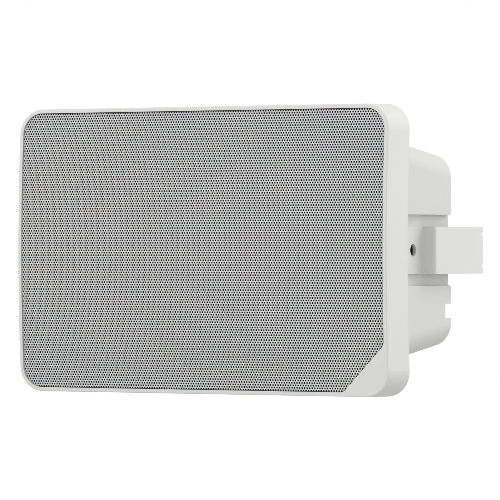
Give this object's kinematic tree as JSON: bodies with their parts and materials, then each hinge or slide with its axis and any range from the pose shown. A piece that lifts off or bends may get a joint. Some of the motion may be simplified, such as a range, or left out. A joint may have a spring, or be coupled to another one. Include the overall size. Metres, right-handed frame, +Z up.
{
  "type": "wall-mount cabinet speaker",
  "caption": "Wall-mount cabinet speaker: bowed rounded front frame with a perforated grille, tapered rear housing and a joggled U bracket that lets it tilt.",
  "frame": {"origin": "centre of the bracket's wall face, on the wall plane", "axes": "+Y into the wall, -Y out of the speaker's front, +X to the right seen from the front, +Z up"},
  "size_m": [0.253, 0.146, 0.171],
  "materials": {
    "cabinet_plastic": "white moulded plastic with a fine spark texture",
    "bracket_paint": "white powder coat",
    "grille_paint": "white powder coat on perforated sheet",
    "grille_cloth": "black acoustic cloth",
    "foam": "closed-cell foam",
    "zinc_steel": "bright zinc plate",
    "brass": "machined",
    "insert_steel": "black oxide on turned steel",
    "terminal_plastic": "black moulded",
    "basket_paint": "black paint on pressed steel",
    "surround_rubber": "matt",
    "cone_paper": "pressed paper pulp",
    "coil_former": "rolled foil",
    "copper": "enamelled copper wire",
    "spider_cloth": "resin-treated cloth",
    "pole_steel": "zinc-plated mild steel",
    "ferrite": "sintered ferrite",
    "tag_board": "phenolic paper with tinned lugs",
    "circuit_board": "green solder mask",
    "tweeter_plastic": "black moulded",
    "dome_silk": "doped silk",
    "bobbin_nylon": "natural nylon",
    "capacitor_film": "yellow film wrap",
    "resistor_cement": "cement body",
    "lead_jacket": "flexible jacket"
  },
  "bodies": {
    "bracket": {"wall_bracket": "bracket_paint"},
    "speaker": {"front_frame": "cabinet_plastic", "grille": "grille_paint", "grille_cloth": "grille_cloth", "cabinet_gasket": "foam", "rear_housing": "cabinet_plastic", "housing_screws": "zinc_steel", "pivot_insert_left": "insert_steel", "pivot_insert_right": "insert_steel", "terminal_block": "terminal_plastic", "terminal_screws": "zinc_steel", "terminal_pins": "brass", "woofer_gasket": "foam", "woofer_basket": "basket_paint", "woofer_surround": "surround_rubber", "woofer_spider": "spider_cloth", "woofer_top_plate": "pole_steel", "woofer_magnet": "ferrite", "woofer_yoke": "pole_steel", "woofer_tag": "tag_board", "woofer_screws": "zinc_steel", "tweeter_gasket": "foam", "tweeter_faceplate": "tweeter_plastic", "tweeter_dome": "dome_silk", "tweeter_coil": "copper", "tweeter_top_plate": "pole_steel", "tweeter_magnet": "ferrite", "tweeter_yoke": "pole_steel", "tweeter_tag": "tag_board", "tweeter_screws": "zinc_steel", "crossover_board": "circuit_board", "crossover_screws": "zinc_steel", "crossover_bobbin": "bobbin_nylon", "crossover_coil": "copper", "crossover_capacitor": "capacitor_film", "crossover_resistor": "resistor_cement", "input_leads": "lead_jacket", "woofer_leads": "lead_jacket", "tweeter_leads": "lead_jacket"},
    "woofer_cone_assembly": {"woofer_cone": "cone_paper", "woofer_dust_cap": "cone_paper", "woofer_former": "coil_former", "woofer_winding": "copper"}
  },
  "joints": [
    {"name": "bracket_tilt", "type": "hinge", "parent": "bracket", "child": "speaker", "pos_m": [0, -0.079, 0], "axis": [1, 0, 0], "range_deg": [-60, 60]},
    {"name": "cone_travel", "type": "slide", "parent": "speaker", "child": "woofer_cone_assembly", "axis": [0, 1, 0], "range_m": [-0.003, 0.003], "stiffness_N_per_m": 1500, "deforming": ["woofer_surround", "woofer_spider"]}
  ]
}
